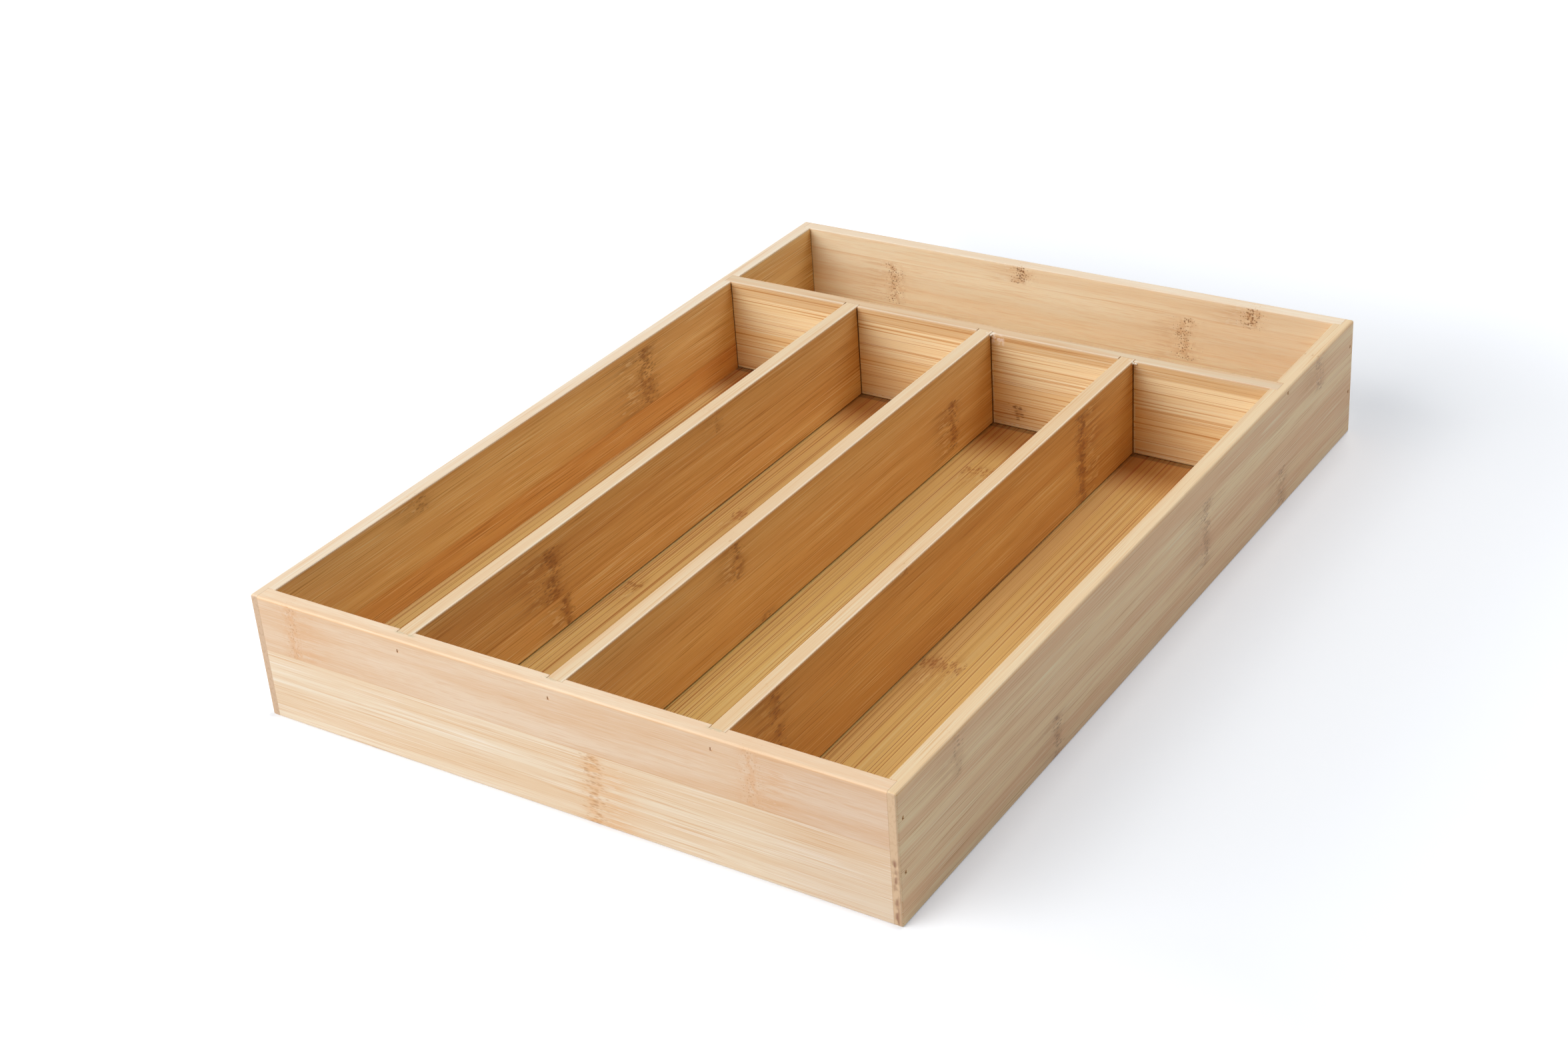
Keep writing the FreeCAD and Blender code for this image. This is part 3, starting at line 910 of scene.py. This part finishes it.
@dataclass(frozen=True)
class Rails:
    """The four boards round the tray."""

    front: BoardFinish = BoardFinish(
        "front rail bamboo", Grain.ALONG_X, Cut.FLAT, INSIDE, OUTSIDE, TOP,
        (Strip(27.0), Strip(RIM, "#ffffff", "#f7eeea", 0.5, 3.0)),
        (Knuckle(-108.0, 27.0, RIM, 0.75, 5.0, 1.0), Knuckle(75.0, 27.0, RIM, 0.65, 6.0, 1.0),
         Knuckle(14.0, 0.0, 27.0, 1.0, 6.5, 1.0)), seed=1.3, top_tint="#fff5ec",
        films=(front_film(-60.5, 5.0), front_film(-2.0, 3.5), front_film(60.0, 4.0)), rim=0.35,
        # Painted shade: the front rail darker toward its right end.
        joints=(PaintedShade(0, OUTER_SIDE, 60.0, 0.09, WARM_SHADE),))
    back: BoardFinish = BoardFinish(
        "back rail bamboo", Grain.ALONG_X, Cut.FLAT, BACK, OUTSIDE, TOP,
        (Strip(19.5, lines=0.45, pace=2.5), Strip(39.5, lines=0.4, pace=3.0),
         Strip(RIM, lines=0.4, pace=2.5)),
        (Knuckle(-78.0, 20.0, 39.0, 0.8), Knuckle(-17.0, 40.0, RIM), Knuckle(57.0, 20.0, 39.0, 0.8),
         Knuckle(85.0, 39.0, RIM)), seed=4.7, top_tint="#ffffff", rim=0.5,
        # Painted shade: dark lines in the inner corners, and a faint darker band round 38 mm up the inner
        # face.
        joints=(PaintedShade(0, -INNER_SIDE, share=0.5), PaintedShade(0, INNER_SIDE, share=0.5)),
        inner_marks=(PaintedShade(2, 38.0, 15.0, 0.1),))
    left: BoardFinish = BoardFinish(
        "left rail bamboo", Grain.ALONG_Y, Cut.FLAT, LEFT, OUTSIDE, TOP,
        # The lower strip's tint darkens the inner face toward the floor: partly the strip's own tone and
        # partly painted shade.
        (Strip(20.0, "#f8e6d4", "#ffffff", 1.3), Strip(RIM)),
        (Knuckle(44.0, 20.0, 45.0, 1.0, 9.0), Knuckle(-95.0, 40.0, RIM, 0.8)), seed=8.1, top_tint="#ffffff",
        ends=EndGrain("#c9aa8c", "#ad8a6a", "#7a4f30"), rim=0.5)
    right: BoardFinish = BoardFinish(
        "right rail bamboo", Grain.ALONG_Y, Cut.FLAT, INSIDE, SHADED, TOP,
        (Strip(24.0, outer="#fbf0e6"), Strip(RIM, outer="#fdf4ea")),
        (Knuckle(-140.0, 32.0, RIM, 0.7), Knuckle(-76.0, 0.0, 16.0), Knuckle(38.0, 11.0, 37.0),
         Knuckle(107.0, 0.0, 17.0), Knuckle(140.0, 33.0, RIM)), seed=12.9, top_tint="#f7ebd5",
        ends=EndGrain("#d1b28f", "#bf9974", "#7a4226", 24.0, 123.2), rim=0.5)

    def dress(self) -> None:
        """Gives each rail its own bamboo."""
        for side, finish in vars(self).items():
            node = side + "_rail"
            dress(node, finish.material(node))


@dataclass(frozen=True)
class Dividers:
    """The three long dividers and the cross divider that they run into."""

    left: BoardFinish = BoardFinish(
        "left divider bamboo", Grain.ALONG_Y, Cut.FLAT, LEFT, LEFT, TOP,
        (Strip(21.5, lines=1.1), Strip(RIM, "#ede1d1", "#ede1d1")),
        (Knuckle(-99.0, 22.0, 43.0, 1.0, 8.0), Knuckle(-93.0, 8.0, 21.0, 1.0, 5.0),
         Knuckle(5.0, 38.0, RIM, 0.6, 5.0)), seed=17.3,
        films=(front_film(-60.5, 5.0),), joints=DIVIDER_SHADES, glint=-58.5)
    centre: BoardFinish = BoardFinish(
        "centre divider bamboo", Grain.ALONG_Y, Cut.FLAT, INSIDE, INSIDE, TOP,
        (Strip(33.0, lines=0.85), Strip(RIM, lines=0.75)),
        (Knuckle(-73.0, 33.0, RIM, 1.0, 5.0), Knuckle(75.0, 12.0, 33.0),
         Knuckle(-58.0, 8.0, 12.0, 0.8)), seed=21.9,
        films=(front_film(-2.0, 3.5), *corner_films(DIVIDER_MIDDLES[1])), joints=DIVIDER_SHADES, glint=2.5)
    right: BoardFinish = BoardFinish(
        "right divider bamboo", Grain.ALONG_Y, Cut.FLAT, INSIDE, INSIDE, TOP,
        (Strip(30.0, "#f5efe5", "#f5efe5", 1.1), Strip(RIM, "#f4e7d5", "#f4e7d5", 1.0)),
        (Knuckle(-144.0, 9.0, RIM, 0.8), Knuckle(64.0, 9.0, 46.0, 1.0, 6.5, 1.0),
         Knuckle(-65.0, 45.5, RIM, 0.8, 5.0)), seed=26.6, top_tint="#f5e6ce",
        films=(front_film(60.0, 4.0), *corner_films(DIVIDER_MIDDLES[2])), joints=DIVIDER_SHADES, glint=63.5)
    cross: BoardFinish = BoardFinish(
        "cross divider bamboo", Grain.ALONG_X, Cut.FINE, CROSS, CROSS, TOP,
        (Strip(27.0, "#fffaf0", "#fffaf0"), Strip(42.5), Strip(RIM, "#ece0d4", "#ece0d4")),
        (Knuckle(14.0, 12.0, 19.0, 1.0, 4.0),), seed=31.4, top_tint="#ecdcc8", glint=107.5,
        films=(*(film for middle in DIVIDER_MIDDLES[1:] for film in corner_films(middle)),
               GlueFilm((0.0, CROSS_FACE, 9.9), (122.0, FILM_DEPTH, 0.5), DRY_GLUE, 0.4),
               GlueFilm((6.0, CROSS_FACE, 45.8), (3.6, FILM_DEPTH, 2.8), PINK_GLUE, 0.75)),
        # Painted shade in the gaps at the cross divider's foot and at its ends.
        joints=(FOOT_SHADE, PaintedShade(0, -INNER_SIDE), PaintedShade(0, INNER_SIDE)))

    def dress(self) -> None:
        """Gives each divider its own bamboo."""
        for side, finish in vars(self).items():
            node = side + "_divider"
            dress(node, finish.material(node))


@dataclass(frozen=True)
class BottomPanel:
    """The floor of the compartments, pressed from narrow strips on edge."""

    bamboo: BoardFinish = BoardFinish(
        "bottom panel bamboo", Grain.ALONG_Y_FLAT, Cut.EDGE, FLOOR, FLOOR, None,
        (Strip(DIVIDER_MIDDLES[0]), Strip(DIVIDER_MIDDLES[1], outer="#faf2e9"),
         Strip(DIVIDER_MIDDLES[2], outer="#fdf7e9"), Strip(OUTER_SIDE, outer="#fbf0dc")),
        (Knuckle(-57.0, 64.5, 80.0, 1.0, 7.0), Knuckle(69.0, 11.0, 23.0), Knuckle(-60.0, -57.0, -50.0),
         Knuckle(0.0, -51.0, -45.0)), seed=37.7,
        # Painted shade: the floor darker and redder toward the cross divider, over a wide stretch and more
        # so within 34 mm, with a dark line at its foot.
        joints=(PaintedShade(1, CROSS_FACE, 190.0, 0.18, WARM_SHADE),
                PaintedShade(1, CROSS_FACE, 34.0, 0.25, RED_SHADE), PaintedShade(1, CROSS_FACE - 1.4, 1.2, 0.4)))

    def dress(self) -> None:
        """Gives the panel its bamboo."""
        dress("bottom_panel", self.bamboo.material("bottom_panel"))


@dataclass(frozen=True)
class Brads:
    """The flat wire brads, dull and browned in their pits."""

    groups: tuple[str, ...] = ("front_corner_brads", "back_corner_brads", "cross_divider_brads",
                               "divider_front_brads", "divider_rear_brads")
    wire: str = "#f4e0c8"
    stain: str = "#d8b28a"
    tarnish: Layer = Layer(0.5, 0.5, 0.5, 2.0)
    tarnish_ramp: tuple[float, float] = (0.4, 0.6)
    metallic: float = 0.1
    roughness: float = 0.5
    roughness_spread: float = 0.3

    def material(self) -> bpy.types.Material:
        """Dull steel with brown stains.

        Returns:
            The material.
        """
        material, shader = new_material("browned steel")
        stain = shader.noise(shader.vector(*shader.place()), self.tarnish, 0.0)
        colour = shader.mix(linear(self.wire), linear(self.stain), stain.rise(*self.tarnish_ramp))
        rough = stain * self.roughness_spread + self.roughness
        sockets = {"Base Color": colour, "Metallic": self.metallic, "Roughness": rough}
        surface = shader.node("BsdfPrincipled", {}, sockets)
        shader.node("OutputMaterial", {}, {"Surface": surface.outputs[0]})
        return material

    def dress(self) -> None:
        """Gives every group of brads the same steel."""
        material = self.material()
        for group in self.groups:
            dress(group, material)


@dataclass(frozen=True)
class GlueDrop:
    """A drop of glue in the corner of two boards: its middle and half sizes in millimetres, and the phase of
    its waves in radians.
    """

    middle: tuple[float, float, float]
    half: tuple[float, float, float]
    phase: float


@dataclass(frozen=True)
class CornerGlue:
    """The glue that was squeezed out at the top of two joints and dried as whitish drops."""

    drops: tuple[GlueDrop, ...] = (GlueDrop((3.2, 106.7, 47.3), (0.9, 0.6, 0.5), 0.4),
                                   GlueDrop((64.0, 106.6, 47.3), (1.0, 0.7, 0.5), 1.9),
                                   GlueDrop((65.3, 106.8, 47.2), (0.7, 0.5, 0.4), 3.1))
    colour: str = "#efe4d4"
    clear: str = "#d6b98f"
    clouds: Layer = Layer(0.8, 0.8, 0.8, 2.0)
    cloud_ramp: tuple[float, float] = (0.36, 0.56)
    rings: int = 14
    steps: int = 24
    wave: float = 0.35
    waves_round: int = 3
    waves_up: int = 2
    roughness: float = 0.25

    def points(self, drop: GlueDrop) -> np.ndarray:
        """The drop's points: its rings from the lowest up, then its lower and its upper pole.

        A point lies at the middle plus the half sizes times its direction, and the direction is
        shortened by a wave that goes a few times round the drop and leans as it rises.

        Args:
            drop: the drop.

        Returns:
            Points by three lengths, in metres.
        """
        rise = np.linspace(0.0, np.pi, self.rings + 2)[1:-1, None]
        turn = np.linspace(0.0, 2 * np.pi, self.steps, endpoint=False)[None, :]
        wave = (1 + np.sin(self.waves_round * turn + self.waves_up * rise + drop.phase)) / 2
        reach = 1 - self.wave * np.sin(rise) ** 2 * wave
        ways = np.stack((np.sin(rise) * np.cos(turn), np.sin(rise) * np.sin(turn),
                         -np.cos(rise) * np.ones_like(turn)), axis=-1)
        rings = (ways * reach[..., None]).reshape(-1, 3)
        poles = np.array(((0.0, 0.0, -1.0), (0.0, 0.0, 1.0)))
        return (np.array(drop.middle) + np.concatenate((rings, poles)) * np.array(drop.half)) / MILLIMETRES

    def faces(self, first: int) -> list[list[int]]:
        """The quads between neighbouring rings and the triangles round each pole.

        Args:
            first: the number of the drop's first point.

        Returns:
            The point numbers of each face, which points outwards.
        """
        place = np.arange(self.steps)
        after = (place + 1) % self.steps
        base = self.steps * np.arange(self.rings - 1)[:, None]
        quads = np.stack((base + place, base + after, base + self.steps + after, base + self.steps + place),
                         axis=-1).reshape(-1, 4)
        last = self.steps * (self.rings - 1)
        lower = np.full_like(place, last + self.steps)
        bottom = np.stack((lower, after, place), axis=-1)
        top = np.stack((lower + 1, last + place, last + after), axis=-1)
        return [face for part in (quads, bottom, top) for face in (first + part).tolist()]

    def material(self) -> bpy.types.Material:
        """Cloudy dried glue.

        Returns:
            The material.
        """
        material, shader = new_material("dried glue")
        cloud = shader.noise(shader.vector(*shader.place()), self.clouds, 0.0)
        colour = shader.mix(linear(self.clear), linear(self.colour), cloud.rise(*self.cloud_ramp))
        surface = shader.node("BsdfPrincipled", {}, {"Base Color": colour, "Roughness": self.roughness})
        shader.node("OutputMaterial", {}, {"Surface": surface.outputs[0]})
        return material

    def build(self) -> None:
        """Builds all the drops as one piece that stays with the tray."""
        points = [self.points(drop) for drop in self.drops]
        faces = [face for count, some in enumerate(points) for face in self.faces(count * len(some))]
        mesh = bpy.data.meshes.new("corner_glue")
        mesh.from_pydata(np.concatenate(points).tolist(), [], faces)
        mesh.polygons.foreach_set("use_smooth", np.ones(len(faces), dtype=bool))
        mesh.materials.append(self.material())
        piece = bpy.data.objects.new("corner_glue", mesh)
        bpy.context.scene.collection.objects.link(piece)
        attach(piece, "root")
        LOG.info("corner_glue: %d drops", len(self.drops))


@dataclass(frozen=True)
class SoftBox:
    """A square lamp: where it stands and how large and strong it is, in metres and watts."""

    name: str
    place: tuple[float, float, float]
    side: float
    power: float

    def build(self, aim: Vector) -> None:
        """Adds the lamp, turned to the point that it lights.

        Args:
            aim: the point.
        """
        lamp = bpy.data.lights.new(self.name, "AREA")
        lamp.energy = self.power
        lamp.size = self.side
        body = bpy.data.objects.new(self.name, lamp)
        body.location = self.place
        body.rotation_euler = (aim - Vector(self.place)).to_track_quat("-Z", "Y").to_euler()
        bpy.context.scene.collection.objects.link(body)
        LOG.info("lamp %s", self.name)


@dataclass(frozen=True)
class Studio:
    """A white table in a white room: a soft lamp at the camera's left, one high at the back and a fill.

    The table glows a little for the eye, so that it shows as white.  It glows more where the shadow
    has faded, from far_from to far_full beside and behind the tray, and is plain white from
    horizon_full on.  These distances are in millimetres.
    """

    key: SoftBox = SoftBox("key softbox", (-0.85, -1.45, 1.15), 1.8, 46.8)
    back: SoftBox = SoftBox("back softbox", (0.15, 0.9, 1.6), 0.7, 12.8)
    fill: SoftBox = SoftBox("fill softbox", (1.3, 1.0, 0.9), 1.0, 6.8)
    sky: float = 0.03
    floor_side: float = 8.0
    floor_white: float = 0.8
    floor_lift: float = 0.24
    lift_tint: Colour = (0.87, 0.965, 1.12)
    far_lift: float = 0.2
    far_from: float = 70.0
    far_full: float = 200.0
    ahead_full: float = 3.0
    ahead_blur_share: float = 0.5
    horizon_from: float = 600.0
    horizon_full: float = 1500.0

    def seen(self, shader: Shader) -> Field:
        """Tells a look from a bounce.

        Args:
            shader: the shader of the table or the sky.

        Returns:
            1 where the camera or a mirror looks, and 0 where light only bounces.
        """
        path = shader.node("LightPath", {}, {})
        rays = [Field(shader, path.outputs[name + " Ray"]) for name in
                ("Is Camera", "Is Glossy", "Is Transmission")]
        return rays[0].most(rays[1]).most(rays[2])

    def build_sky(self) -> None:
        """Lights the scene evenly from all round, and shows as white."""
        world = bpy.data.worlds.new("white sky")
        bpy.context.scene.world = world
        world.use_nodes = True
        shader = Shader(world.node_tree)
        strength = self.seen(shader) * (1 - self.sky) + self.sky
        sky = shader.node("Background", {}, {"Color": (1.0, 1.0, 1.0), "Strength": strength})
        shader.node("OutputWorld", {}, {"Surface": sky.outputs[0]})

    def build_floor(self, level: float) -> None:
        """Lays the table: a square whose white is lifted for the eye, and which takes the shadow.

        Args:
            level: the height that the tray stands on.
        """
        half = self.floor_side / 2
        corners = [(-half, -half, level), (half, -half, level), (half, half, level), (-half, half, level)]
        mesh = bpy.data.meshes.new("white table")
        mesh.from_pydata(corners, [], [(0, 1, 2, 3)])
        table = bpy.data.objects.new("white_table", mesh)
        bpy.context.scene.collection.objects.link(table)
        material, shader = new_material("white table")
        paint = shader.node("BsdfDiffuse", {}, {"Color": (self.floor_white,) * 3})
        x, y, _ = shader.place()
        corner = CAD_BOX[1] * MILLIMETRES
        aside = (x - corner.x).most(0.0)
        behind = (y - corner.y).most(0.0)
        shaded = (aside * aside + behind * behind) ** 0.5
        # In front of and to the left of the tray the table glows fully from ahead_full on: painted light
        # over the tray's shadow there.
        ahead = (-corner.y - y).most(-corner.x - x)
        blur = shaded * self.ahead_blur_share
        lit = ahead.rise(blur * -1.0, blur + self.ahead_full)
        lifted = shaded.rise(self.far_from, self.far_full).most(lit)
        horizon = ((x * x + y * y) ** 0.5).rise(self.horizon_from, self.horizon_full)
        tints = [tuple(tint * lift for tint in self.lift_tint) for lift in
                 (self.floor_lift, self.floor_lift + self.far_lift)]
        glow = shader.mix(shader.mix(*tints, lifted), (1.0, 1.0, 1.0), horizon)
        lift = shader.node("Emission", {}, {"Color": glow, "Strength": self.seen(shader)})
        both = shader.node("AddShader", {}, {0: paint.outputs[0], 1: lift.outputs[0]})
        shader.node("OutputMaterial", {}, {"Surface": both.outputs[0]})
        mesh.materials.append(material)
        LOG.info("table and sky")

    def build(self) -> None:
        """Builds the table, the sky and the lamps."""
        low, high = CAD_BOX
        self.build_sky()
        self.build_floor(low.z)
        for lamp in (self.key, self.back, self.fill):
            lamp.build((low + high) / 2)
        bpy.context.scene.view_settings.view_transform = "Standard"


@dataclass(frozen=True)
class PhotoCamera:
    """The camera of the picture: its place and aim in metres, its roll in degrees and its lens."""

    place: tuple[float, float, float] = (0.43051, -0.66098, 0.45928)
    aim: tuple[float, float, float] = (-0.03791, 0.01501, 0.0)
    roll: float = -4.448
    lens: float = 56.762
    sensor: float = 36.0

    def build(self) -> None:
        """Adds the camera, looking from its place to its aim and then rolled."""
        data = bpy.data.cameras.new("photo camera")
        data.lens = self.lens
        data.sensor_width = self.sensor
        data.sensor_fit = "HORIZONTAL"
        camera = bpy.data.objects.new("photo camera", data)
        look = (Vector(self.aim) - Vector(self.place)).to_track_quat("-Z", "Y")
        roll = Matrix.Rotation(math.radians(self.roll), 4, "Z")
        camera.matrix_world = Matrix.Translation(self.place) @ look.to_matrix().to_4x4() @ roll
        bpy.context.scene.collection.objects.link(camera)
        bpy.context.scene.camera = camera
        LOG.info("camera")


def main() -> None:
    """Dresses the tray piece by piece and sets it in the studio."""
    logging.basicConfig(level=logging.INFO, format="%(message)s")
    Rails().dress()
    Dividers().dress()
    BottomPanel().dress()
    Brads().dress()
    CornerGlue().build()
    Studio().build()
    PhotoCamera().build()


if __name__ == "__main__":
    main()
